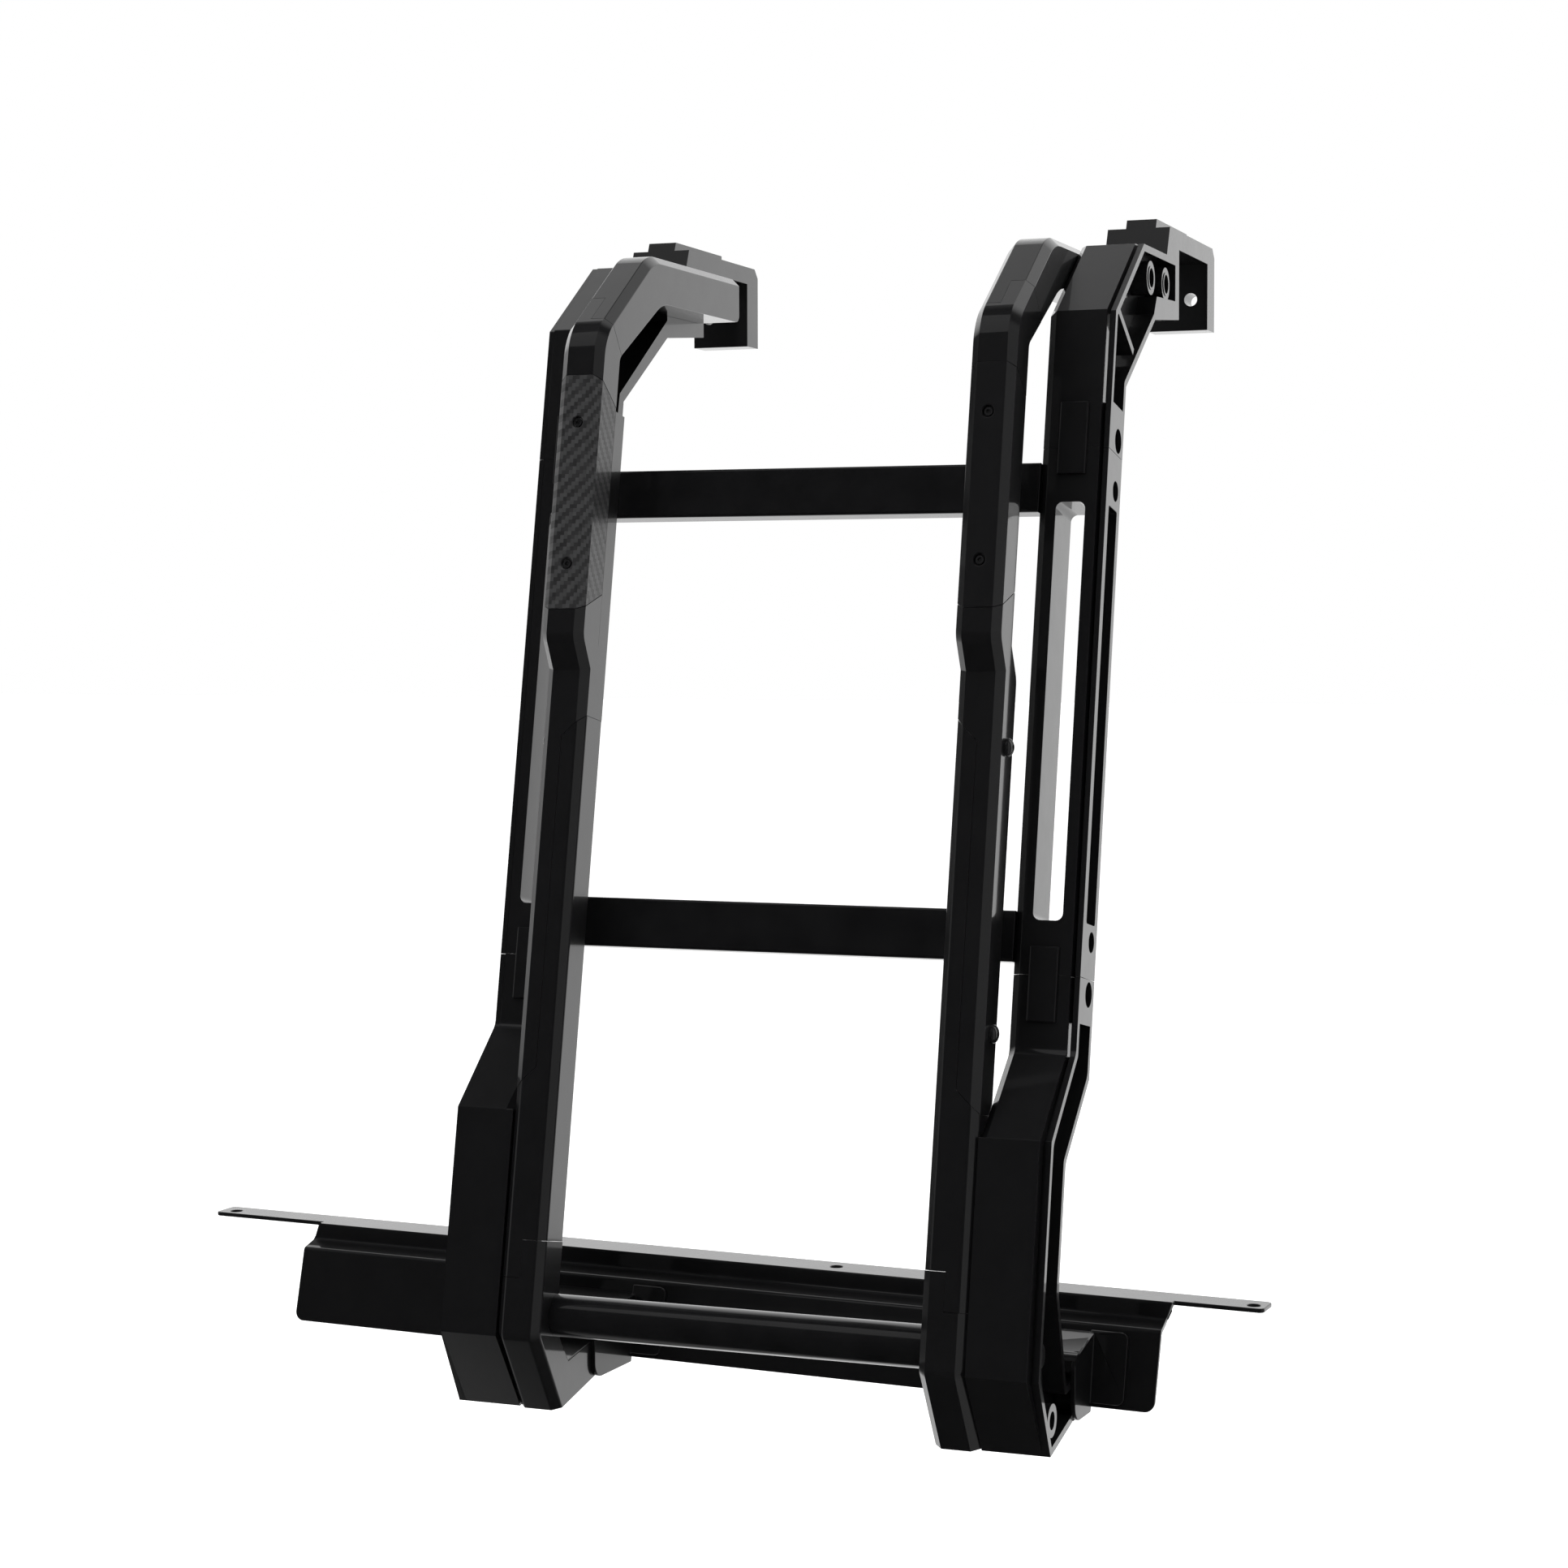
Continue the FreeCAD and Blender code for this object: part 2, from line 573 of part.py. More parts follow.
def rack_hook():
    """Stepped block on the arm's end, with a leg that drops behind the rack's rail."""
    gap_top = ARM_TOP + HOOK_GAP_ABOVE_ARM
    roof = gap_top + HOOK_ROOF
    gap_back = OUTER_ARM_END + HOOK_GAP
    front = OUTER_ARM_END - HOOK_SEAT
    points = [
        level(front, ARM_TOP),
        level(front + HOOK_FRONT_LEAN, roof),
        level(gap_back + HOOK_LEG, roof),
        level(gap_back + HOOK_LEG, gap_top - HOOK_LEG_DROP),
        level(gap_back, gap_top - HOOK_LEG_DROP),
        level(gap_back, gap_top),
        level(OUTER_ARM_END, gap_top),
        level(OUTER_ARM_END, ARM_TOP),
    ]
    hook = prism(points, OUTER_X0, OUTER_X1)
    hook = hook.makeChamfer(HOOK_BACK_BEVEL, edges_on(hook, points[2:3]))
    pad_front = front + HOOK_FRONT_LEAN + HOOK_PAD_SETBACK
    pad_lean = HOOK_PAD_PROUD * HOOK_FRONT_LEAN / (roof - ARM_TOP)
    pad_points = [
        level(pad_front, roof),
        level(pad_front + pad_lean, roof + HOOK_PAD_PROUD),
        level(pad_front + HOOK_PAD_LENGTH, roof + HOOK_PAD_PROUD),
        level(pad_front + HOOK_PAD_LENGTH, roof),
    ]
    pad = prism(pad_points, OUTER_X0 + HOOK_PAD_INBOARD, OUTER_X1 - HOOK_PAD_INSET)
    hole_at = level(gap_back - 1, gap_top - HOOK_LEG_DROP * HOOK_HOLE_SHARE)
    hole_at.x = OUTER_X1 - HOOK_HOLE_INSET
    hole = Part.makeCylinder(HOOK_HOLE_R, HOOK_LEG + 2, hole_at, FreeCAD.Vector(0, 1, 0))
    return hook.fuse(pad).removeSplitter().cut(hole)


def splice_tab(middle_up):
    """Raised plate that bridges a seam on an outer rail's front."""
    low = middle_up - SPLICE_LENGTH / 2
    high = middle_up + SPLICE_LENGTH / 2
    points = [
        rail(OUTER_FRONT - SPLICE_PROUD, low), rail(OUTER_FRONT - SPLICE_PROUD, high),
        rail(OUTER_FRONT, high), rail(OUTER_FRONT, low),
    ]
    x0 = OUTER_X0 + SPLICE_INSET
    tab = prism(points, x0, x0 + SPLICE_WIDTH)
    return tab.makeChamfer(SPLICE_PROUD / 3, edges_between(tab, points[:2], (x0, x0 + SPLICE_WIDTH)))


def rung(middle_up):
    low = middle_up - RUNG_HEIGHT / 2
    high = middle_up + RUNG_HEIGHT / 2
    points = [
        rail(RUNG_OUT, low), rail(RUNG_OUT, high),
        rail(RUNG_OUT + RUNG_DEPTH, high), rail(RUNG_OUT + RUNG_DEPTH, low),
    ]
    bar = prism(points, -OUTER_X0, OUTER_X0)
    return bar.makeFillet(RUNG_EDGE_R, edges_on(bar, points))


def foot_tube():
    """Round tube between the inner feet, with spigots through them into the outer legs."""
    tube = cylinder_x(TUBE_R, -INNER_X0, INNER_X0, rail(0, 0))
    spigot = cylinder_x(SPIGOT_R, -BODY_X1, BODY_X1, rail(0, 0))
    return tube.fuse(spigot).removeSplitter()


def yawed(shape):
    turned = shape.copy()
    turned.rotate(FreeCAD.Vector(0, 0, 0), Z_AXIS, BRACKET_YAW_DEG)
    return turned


def plate_front(z):
    """Place across the sheet of the leaning plate's front at a height."""
    lean = math.tan(math.radians(PLATE_LEAN_DEG))
    return -FLANGE_DEPTH / 2 - JOGGLE_OUT + (z + DROP_HEIGHT + JOGGLE_DROP) * lean


def body_bracket():
    """Long bent sheet: level flange with a tongue at each end, a joggle, and the leaning plate below."""
    half = FLANGE_DEPTH / 2
    flange = Part.makeBox(PLATE_RIGHT - PLATE_LEFT, FLANGE_DEPTH, SHEET, FreeCAD.Vector(PLATE_LEFT, -half, 0))
    tongue = Part.makeBox(
        BRACKET_RIGHT - BRACKET_LEFT, TONGUE_DEPTH, SHEET,
        FreeCAD.Vector(BRACKET_LEFT, half - TONGUE_DEPTH, 0))
    corners = [e for e in tongue.Edges if abs(e.tangentAt(e.FirstParameter).z) > 0.9]
    tongue = tongue.makeFillet(TONGUE_R, corners)
    knee = -DROP_HEIGHT - JOGGLE_DROP
    low_front = plate_front(-PLATE_DROP)
    front = [(-half, SHEET), (-half, -DROP_HEIGHT), (-half - JOGGLE_OUT, knee), (low_front, -PLATE_DROP)]
    back = [
        (low_front + SHEET, -PLATE_DROP), (-half - JOGGLE_OUT + SHEET, knee - SHEET),
        (-half + SHEET, -DROP_HEIGHT - SHEET), (-half + SHEET, SHEET),
    ]
    section = [FreeCAD.Vector(0, y, z) for y, z in front + back]
    skirt = prism(section, PLATE_LEFT - PLATE_END_SLANT, PLATE_RIGHT)
    far = -2 * FLANGE_DEPTH
    outline = [
        FreeCAD.Vector(PLATE_LEFT, far, SHEET + 1),
        FreeCAD.Vector(PLATE_RIGHT, far, SHEET + 1),
        FreeCAD.Vector(PLATE_RIGHT, far, -DROP_HEIGHT),
        FreeCAD.Vector(PLATE_RIGHT - PLATE_END_SLANT, far, -PLATE_DROP),
        FreeCAD.Vector(PLATE_LEFT - PLATE_END_SLANT, far, -PLATE_DROP),
        FreeCAD.Vector(PLATE_LEFT, far, -DROP_HEIGHT),
    ]
    trim = Part.Face(Part.makePolygon(outline + [outline[0]])).extrude(FreeCAD.Vector(0, 3 * FLANGE_DEPTH, 0))
    low_corners = [e for e in trim.Edges if abs(e.CenterOfMass.z + PLATE_DROP) < 0.1
                   and abs(e.tangentAt(e.FirstParameter).y) > 0.9]
    trim = trim.makeFillet(PLATE_CORNER_R, low_corners)
    sheet = flange.fuse([tongue, skirt.common(trim)]).removeSplitter()
    for x in FLANGE_HOLES_X:
        hole = Part.makeCylinder(FLANGE_HOLE_R, SHEET + 2, FreeCAD.Vector(x, 0, -1))
        sheet = sheet.cut(hole)
    return yawed(sheet)


def behind_plate():
    """Everything behind the front of the bracket's leaning plate."""
    tall = 2 * PLATE_DROP
    deep = BRACKET_RIGHT - BRACKET_LEFT
    section = [(plate_front(tall), tall), (plate_front(-tall), -tall), (deep, -tall), (deep, tall)]
    return yawed(prism([FreeCAD.Vector(0, y, z) for y, z in section], BRACKET_LEFT, BRACKET_RIGHT))


def hood_tab(x0, x1, free_x):
    """Flat tab on the leaning plate, with round corners on its free side."""
    top = TUBE_Z - HOOD_TAB_TOP
    tab = Part.makeBox(x1 - x0, SHEET, HOOD_TAB_HEIGHT, FreeCAD.Vector(x0, -SHEET, -HOOD_TAB_HEIGHT))
    corners = [e for e in tab.Edges if abs(e.tangentAt(e.FirstParameter).y) > 0.9
               and abs(e.CenterOfMass.x - free_x) < 0.1]
    tab = tab.makeFillet(HOOD_TAB_R, corners)
    tab.rotate(FreeCAD.Vector(0, 0, 0), FreeCAD.Vector(1, 0, 0), -PLATE_LEAN_DEG)
    return yawed(tab.translated(FreeCAD.Vector(0, plate_front(top), top)))


def bracket_hood(side):
    """Bent sheet from the plate to the heels: a sloping roof, two ears and a tab beside each ear."""
    heel_y = TUBE_Y + (HOOD_FRONT_BACK + HEEL_BACK) / 2
    middle = FreeCAD.Vector(side * (INNER_X0 + OUTER_X1) / 2, heel_y, 0)
    half = (OUTER_X1 - INNER_X0) / 2 + HOOD_CLEARANCE + SHEET
    x0 = middle.x - half
    x1 = middle.x + half
    far = -TUBE_Y
    far_drop = HOOD_TOP_DROP - (far - HOOD_FRONT_BACK) * HOOD_SLOPE
    ear_points = [
        level(HOOD_FRONT_BACK, -HOOD_LOW_DROP),
        level(HOOD_FRONT_BACK, -HOOD_TOP_DROP),
        level(far, -far_drop),
        level(far, -HOOD_LOW_DROP),
    ]
    outer = prism(ear_points, x0, x1)
    outer = outer.makeFillet(HOOD_CORNER_R, edges_on(outer, ear_points[:2]))
    inner_points = [
        level(0, -2 * HOOD_LOW_DROP),
        level(0, -HOOD_TOP_DROP - HOOD_FRONT_BACK * HOOD_SLOPE - SHEET),
        level(far, -far_drop - SHEET),
        level(far, -2 * HOOD_LOW_DROP),
    ]
    hood = outer.cut(prism(inner_points, x0 + SHEET, x1 - SHEET))
    hood.rotate(middle, Z_AXIS, BRACKET_YAW_DEG)
    turn = math.radians(BRACKET_YAW_DEG)
    along = middle.x * math.cos(turn) + middle.y * math.sin(turn)
    left_tab = hood_tab(along - half - HOOD_TAB, along - half + SHEET, along - half - HOOD_TAB)
    right_tab = hood_tab(along + half - SHEET, along + half + HOOD_TAB, along + half + HOOD_TAB)
    return hood.cut(behind_plate()).fuse([left_tab, right_tab]).removeSplitter()


save_pair("inner_foot", inner_foot())
save_pair("inner_lower_rail", inner_lower_rail())
save_pair("inner_upper_rail", inner_upper_rail())
save_pair("grip_panel", grip_panel())
save_pair("inner_bend", inner_top(False))
save_pair("inner_arm", inner_top(True))
save_pair("outer_mid_rail", outer_mid_rail())
save_pair("outer_lower_leg", outer_lower_leg())
save_pair("roof_arm", roof_arm())
save_pair("rack_hook", rack_hook())
save_pair("upper_splice_tab", splice_tab(UPPER_SEAM_UP + SPLICE_SHIFT))
save_pair("lower_splice_tab", splice_tab(LOWER_SEAM_UP - SPLICE_SHIFT))
save("lower_rung", rung(LOWER_RUNG_UP))
save("upper_rung", rung(LOWER_RUNG_UP + RUNG_PITCH))
save("foot_tube", foot_tube())
save("body_bracket", body_bracket())
save("right_bracket_hood", bracket_hood(1))
save("left_bracket_hood", bracket_hood(-1))
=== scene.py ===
import json
import math

import bmesh
import bpy
from mathutils import Matrix, Vector
from mathutils.bvhtree import BVHTree


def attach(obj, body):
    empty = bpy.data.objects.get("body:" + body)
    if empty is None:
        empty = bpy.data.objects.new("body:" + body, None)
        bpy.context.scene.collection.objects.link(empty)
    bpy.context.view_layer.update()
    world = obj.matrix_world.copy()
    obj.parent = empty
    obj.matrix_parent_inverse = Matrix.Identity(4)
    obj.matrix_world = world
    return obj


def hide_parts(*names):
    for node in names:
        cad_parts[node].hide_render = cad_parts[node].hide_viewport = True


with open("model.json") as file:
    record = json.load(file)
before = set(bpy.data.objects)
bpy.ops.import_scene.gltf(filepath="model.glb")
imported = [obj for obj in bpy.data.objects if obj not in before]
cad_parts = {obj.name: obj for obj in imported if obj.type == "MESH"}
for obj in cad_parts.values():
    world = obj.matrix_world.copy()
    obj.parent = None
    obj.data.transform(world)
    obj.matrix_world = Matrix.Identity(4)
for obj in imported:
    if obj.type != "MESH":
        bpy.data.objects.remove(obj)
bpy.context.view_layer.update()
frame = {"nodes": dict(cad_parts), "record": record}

LEAN = math.radians(11.2)
TUBE = Vector((0, -0.147, -0.012))
ACROSS = Vector((0, math.cos(LEAN), -math.sin(LEAN)))
ALONG = Vector((0, math.sin(LEAN), math.cos(LEAN)))


def on_rail(x, out, up):
    """Point measured across and along the leaning rails from the foot tube's axis."""
    return TUBE + ACROSS * out + ALONG * up + Vector((x, 0, 0))


# Camera at the photograph's viewpoint

SENSOR_MM = 36
LENS_MM = 70.13
VIEW_REACH = 60
VIEWPOINT = (0.7336, -2.0169, 0.4584)
VIEW_DEGREES = (90 - 3.037, 0.109, 20.566)

camera_data = bpy.data.cameras.new("camera")
camera_data.sensor_width = SENSOR_MM
camera_data.lens = LENS_MM
camera_data.clip_end = VIEW_REACH
camera = bpy.data.objects.new("camera", camera_data)
camera.location = VIEWPOINT
camera.rotation_euler = [math.radians(angle) for angle in VIEW_DEGREES]
bpy.context.scene.collection.objects.link(camera)
bpy.context.scene.camera = camera


# Materials

def new_material(name):
    material = bpy.data.materials.new(name)
    material.use_nodes = True
    nodes = material.node_tree.nodes
    nodes.clear()
    shader = nodes.new("ShaderNodeBsdfPrincipled")
    output = nodes.new("ShaderNodeOutputMaterial")
    material.node_tree.links.new(shader.outputs["BSDF"], output.inputs["Surface"])
    return material, nodes, material.node_tree.links, shader


def noise(nodes, links, scale, detail):
    where = nodes.new("ShaderNodeTexCoord")
    texture = nodes.new("ShaderNodeTexNoise")
    texture.inputs["Scale"].default_value = scale
    texture.inputs["Detail"].default_value = detail
    links.new(where.outputs["Object"], texture.inputs["Vector"])
    return texture.outputs["Fac"]


def ramp(nodes, links, value, low, high, start=0.3, end=0.7):
    node = nodes.new("ShaderNodeValToRGB")
    node.color_ramp.elements[0].position = start
    node.color_ramp.elements[1].position = end
    node.color_ramp.elements[0].color = (*low, 1)
    node.color_ramp.elements[1].color = (*high, 1)
    links.new(value, node.inputs["Fac"])
    return node.outputs["Color"]


def span(nodes, links, value, low, high):
    node = nodes.new("ShaderNodeMapRange")
    node.inputs["To Min"].default_value = low
    node.inputs["To Max"].default_value = high
    links.new(value, node.inputs["Value"])
    return node.outputs["Result"]


def bump(nodes, links, shader, height, strength, distance):
    node = nodes.new("ShaderNodeBump")
    node.inputs["Strength"].default_value = strength
    node.inputs["Distance"].default_value = distance
    links.new(height, node.inputs["Height"])
    links.new(node.outputs["Normal"], shader.inputs["Normal"])


MOTTLE_SCALE = 45.0
MOTTLE_DETAIL = 3.0
GRAIN_DETAIL = 2.0
GRAIN_STRENGTH = 0.35


def gloss_black(name, dark, light, rough, grain, grain_depth):
    """Black coating with faint mottling, a grain of its own and a clear top coat."""
    material, nodes, links, shader = new_material(name)
    cloud = noise(nodes, links, MOTTLE_SCALE, MOTTLE_DETAIL)
    links.new(ramp(nodes, links, cloud, dark, light), shader.inputs["Base Color"])
    links.new(span(nodes, links, cloud, rough[0], rough[1]), shader.inputs["Roughness"])
    shader.inputs["Coat Weight"].default_value = 1.0
    shader.inputs["Coat Roughness"].default_value = 0.06
    shader.inputs["Specular IOR Level"].default_value = 0.15
    bump(nodes, links, shader, noise(nodes, links, grain, GRAIN_DETAIL), GRAIN_STRENGTH, grain_depth)
    return material


cast = gloss_black(
    "cast_gloss_black", (0.0066, 0.0066, 0.007), (0.0074, 0.0074, 0.0079),
    (0.3, 0.42), 1300.0, 0.00004,
)
extruded = gloss_black(
    "rail_gloss_black", (0.0065, 0.0065, 0.0069), (0.0073, 0.0073, 0.0078),
    (0.28, 0.4), 900.0, 0.00006,
)
bar_black = gloss_black(
    "rung_gloss_black", (0.005, 0.005, 0.0054), (0.007, 0.007, 0.0075),
    (0.25, 0.35), 700.0, 0.00002,
)
sheet = gloss_black(
    "sheet_gloss_black", (0.006, 0.006, 0.0064), (0.0068, 0.0068, 0.0072),
    (0.3, 0.42), 1500.0, 0.00004,
)
plain_grip = gloss_black(
    "grip_gloss_black", (0.0068, 0.0068, 0.0073), (0.0076, 0.0076, 0.0081),
    (0.3, 0.42), 1000.0, 0.00005,
)
# Bolt heads get a lighter black than the other parts: partly their own finish, partly a painted
# highlight on the domed heads.
bolt_black_and_sheen = gloss_black(
    "bolt_black_and_sheen", (0.009, 0.009, 0.0095), (0.014, 0.014, 0.0145),
    (0.2, 0.3), 2500.0, 0.00001,
)


def math_node(nodes, links, operation, first, second=None):
    node = nodes.new("ShaderNodeMath")
    node.operation = operation
    for socket, value in zip(node.inputs, (first, second)):
        if isinstance(value, (int, float)):
            socket.default_value = value
        elif value is not None:
            links.new(value, socket)
    return node.outputs[0]


def dot_node(nodes, links, vector, axis):
    node = nodes.new("ShaderNodeVectorMath")
    node.operation = "DOT_PRODUCT"
    links.new(vector, node.inputs[0])
    node.inputs[1].default_value = axis
    return node.outputs["Value"]


SIDE_FACING = 0.9
# The warp share lightens warp tows as painted sheen, the scatter share gives each cell a random tone,
# and the crown share lightens the middle of each tow as a painted highlight.
WARP_SHEEN_SHARE = 0.6
SCATTER_SHARE = 0.32
CROWN_HIGHLIGHT_SHARE = 0.08
TOW_WIDTH = 0.0027


def carbon_twill(name, cell, weft_in_shade, warp_in_sheen):
    """Two-by-two twill of flat tows that runs on round the panel's corners, under a clear coat. Warp
    tows are painted lighter than weft tows as painted sheen, and each tow's crown gets a painted
    highlight.
    """
    material, nodes, links, shader = new_material(name)
    place = nodes.new("ShaderNodeTexCoord")
    where = place.outputs["Object"]
    sideways = dot_node(nodes, links, place.outputs["Normal"], (1, 0, 0))
    facing = math_node(nodes, links, "ABSOLUTE", sideways)
    is_side = math_node(nodes, links, "GREATER_THAN", facing, SIDE_FACING)
    way = math_node(nodes, links, "ADD", math_node(nodes, links, "MULTIPLY", is_side, -2.0), 1.0)
    depth = dot_node(nodes, links, where, (0, math.cos(LEAN) / cell, -math.sin(LEAN) / cell))
    width = dot_node(nodes, links, where, (1 / cell, 0, 0))
    u = math_node(nodes, links, "ADD", width, math_node(nodes, links, "MULTIPLY", way, depth))
    v = dot_node(nodes, links, where, (0, math.sin(LEAN) / cell, math.cos(LEAN) / cell))
    column = math_node(nodes, links, "FLOOR", u)
    row = math_node(nodes, links, "FLOOR", v)
    step = math_node(nodes, links, "SUBTRACT", column, row)
    turn = math_node(nodes, links, "FLOORED_MODULO", step, 4.0)
    is_warp = math_node(nodes, links, "LESS_THAN", turn, 1.5)
    across_u = math_node(nodes, links, "PINGPONG", u, 0.5)
    across_v = math_node(nodes, links, "PINGPONG", v, 0.5)
    crown = nodes.new("ShaderNodeMix")
    links.new(is_warp, crown.inputs["Factor"])
    links.new(across_v, crown.inputs[2])
    links.new(across_u, crown.inputs[3])
    seed = nodes.new("ShaderNodeCombineXYZ")
    links.new(column, seed.inputs["X"])
    links.new(row, seed.inputs["Y"])
    random = nodes.new("ShaderNodeTexWhiteNoise")
    random.noise_dimensions = "2D"
    links.new(seed.outputs[0], random.inputs["Vector"])
    # Base colour: painted sheen on warp tows, a random tone per cell and a painted highlight along each
    # tow's crown.
    tone_and_sheen = math_node(nodes, links, "MULTIPLY", is_warp, WARP_SHEEN_SHARE)
    scatter = math_node(nodes, links, "MULTIPLY", random.outputs["Value"], SCATTER_SHARE)
    tone_and_sheen = math_node(nodes, links, "ADD", tone_and_sheen, scatter)
    crown_highlight = math_node(nodes, links, "MULTIPLY", crown.outputs[0], CROWN_HIGHLIGHT_SHARE)
    tone_and_sheen = math_node(nodes, links, "ADD", tone_and_sheen, crown_highlight)
    links.new(ramp(nodes, links, tone_and_sheen, weft_in_shade, warp_in_sheen, 0.0, 1.0), shader.inputs["Base Color"])
    links.new(span(nodes, links, tone_and_sheen, 0.5, 0.36), shader.inputs["Roughness"])
    shader.inputs["Coat Weight"].default_value = 0.4
    shader.inputs["Coat Roughness"].default_value = 0.08
    shader.inputs["Specular IOR Level"].default_value = 0.3
    bump(nodes, links, shader, crown.outputs[0], 0.25, 0.0002)
    return material


# Dark weft and light warp colours: the lighter warp is painted sheen on the same black tows.
carbon = carbon_twill("carbon_twill", TOW_WIDTH, (0.013, 0.013, 0.0135), (0.046, 0.046, 0.047))


# Coated pieces: the CAD shapes with rounded folds and softly broken edges

SLOT_MATERIAL = {
    "cast_black": cast, "rail_black": extruded, "rung_black": bar_black,
    "sheet_black": sheet, "carbon_weave": carbon,
}
# Rounding of the edges by slot, and of the folds across a rail by kind of piece
EDGE = {
    "cast_black": 0.0009, "rail_black": 0.0009, "rung_black": 0.0008,
    "sheet_black": 0.0007, "carbon_weave": 0.0007,
}
EDGE_STEPS = 3
FOLD = {
    "inner_bend": 0.013, "inner_arm": 0.011, "roof_arm": 0.0032, "outer_lower_leg": 0.0036,
    "inner_upper_rail": 0.004, "inner_foot": 0.003,
}
WELD = 2e-6
FLAT = math.radians(0.6)


def kind(node):
    return node.split("_", 1)[1]


def node_mesh(node):
    """A node's shape with its faces joined along their edges."""
    shape = bmesh.new()
    shape.from_mesh(frame["nodes"][node].data)
    bmesh.ops.remove_doubles(shape, verts=shape.verts, dist=WELD)
    mesh = bpy.data.meshes.new(node)
    shape.to_mesh(mesh)
    shape.free()
    return mesh


def placed(name, mesh):
    """An object in the scene with the given mesh."""
    piece = bpy.data.objects.new(name, mesh)
    bpy.context.scene.collection.objects.link(piece)
    return piece


def combined(mesh, tools, operation):
    """The mesh joined with, or cut by, other meshes."""
    for tool in tools:
        base = placed("base", mesh)
        other = placed("tool", tool)
        step = base.modifiers.new("combine", "BOOLEAN")
        step.operation = operation
        step.solver = "EXACT"
        step.object = other
        graph = bpy.context.evaluated_depsgraph_get()
        mesh = bpy.data.meshes.new_from_object(base.evaluated_get(graph))
        bpy.data.objects.remove(base)
        bpy.data.objects.remove(other)
    return mesh


SHARP = math.radians(32)
# Edges this close to another piece are seams: their rounding is a share of the usual one
SEAM_REACH = 0.0006
SEAM_SHARE = 0.15
SEAM_FACING = 0.6
WIDE_SEAMS = ("grip_panel", "inner_bend", "inner_arm", "inner_upper_rail")
WIDE_PULL = 0.0001
NARROW_PULL = 0.00008
TREES = {}
for name in frame["nodes"]:
    surface = frame["nodes"][name].data
    corners = [vert.co for vert in surface.vertices]
    TREES[name] = BVHTree.FromPolygons(corners, [face.vertices for face in surface.polygons])


def touches(point, nodes):
    """Whether a point lies on the surface of a node that isn't among the given ones."""
    return any(
        TREES[name].find_nearest(point, SEAM_REACH)[0] is not None for name in TREES if name not in nodes
    )


FOLD_STEPS = 6
FOLD_ANGLES = (math.radians(10), math.radians(60))
FOLD_CROSSING = 0.3
SHEET_FOLD = {"bracket": 0.0022, "bracket_hood": 0.0016}
SHEET_WIDE = 0.0036
BEND_LENGTH = 0.012


def is_sheet_bend(edge):
    """Whether an edge is a bend of a sheet: long, between two faces wider than the sheet is thick."""
    if len(edge.link_faces) != 2 or edge.calc_length() < BEND_LENGTH:
        return False
    if edge.calc_face_angle() < SHARP / 2:
        return False
    widths = [f.calc_area() / max(e.calc_length() for e in f.edges) for f in edge.link_faces]
    return min(widths) > SHEET_WIDE


# Heights and ends of the bracket's step and of the hoods' roofs, and how far they move
DROP_END = (-0.405, 0.263)
DROP_FOOT = (-0.0122, -0.0088)
DROP_FOOT_SHIFT = 0.004
PLATE_TOP = (-0.0157, -0.0123)
PLATE_TOP_SHIFT = 0.002
HOOD_ROOF = (-0.045, -0.026)
HOOD_ROOF_LIFT = 0.010


def bent_sheet(node, mesh):
    """The bracket's step with slanted ends, and the hoods with their roofs as high as their ears."""
    for vert in mesh.vertices:
        at = vert.co
        if node == "body_bracket" and not DROP_END[0] < at.x < DROP_END[1]:
            if DROP_FOOT[0] < at.z < DROP_FOOT[1]:
                at.x -= DROP_FOOT_SHIFT
            elif PLATE_TOP[0] < at.z < PLATE_TOP[1]:
                at.x -= PLATE_TOP_SHIFT
        elif kind(node) == "bracket_hood" and HOOD_ROOF[0] < at.z < HOOD_ROOF[1]:
            at.z += HOOD_ROOF_LIFT
    return mesh


def cleaned(mesh, fold, nodes):
    """Flat faces joined into one, folds rounded, seams opened and each sharp edge's rounding set."""
    shape = bmesh.new()
    shape.from_mesh(mesh)
    bmesh.ops.remove_doubles(shape, verts=shape.verts, dist=WELD)
    if kind(nodes[0]) != "grip_panel":
        bmesh.ops.dissolve_limit(shape, angle_limit=FLAT, verts=shape.verts, edges=shape.edges)
    folds = []
    for edge in shape.edges:
        run = edge.verts[1].co - edge.verts[0].co
        if len(edge.link_faces) != 2 or abs(run.x) < FOLD_CROSSING * run.length:
            continue
        if FOLD_ANGLES[0] < edge.calc_face_angle() < FOLD_ANGLES[1]:
            folds.append(edge)
    if kind(nodes[0]) in SHEET_FOLD:
        fold = SHEET_FOLD[kind(nodes[0])]
        folds = [edge for edge in shape.edges if is_sheet_bend(edge)]
    for outward in (True, False):
        group = [edge for edge in folds if edge.is_valid and edge.is_convex == outward]
        if fold and group:
            bmesh.ops.bevel(
                shape, geom=group, offset=fold, offset_type="OFFSET", segments=FOLD_STEPS, profile=0.5,
                affect="EDGES", clamp_overlap=True,
            )
    pull = WIDE_PULL if kind(nodes[0]) in WIDE_SEAMS else NARROW_PULL
    for face in shape.faces:
        if abs(face.normal.dot(ALONG)) > SEAM_FACING and all(touches(v.co, nodes) for v in face.verts):
            for vert in face.verts:
                vert.co -= face.normal * pull
    weight = shape.edges.layers.float.new("bevel_weight_edge")
    for edge in shape.edges:
        if len(edge.link_faces) == 2 and edge.calc_face_angle() > SHARP:
            middle = (edge.verts[0].co + edge.verts[1].co) / 2
            edge[weight] = SEAM_SHARE if touches(middle, nodes) else 1.0
    result = bpy.data.meshes.new("cleaned")
    shape.to_mesh(result)
    shape.free()
    return result


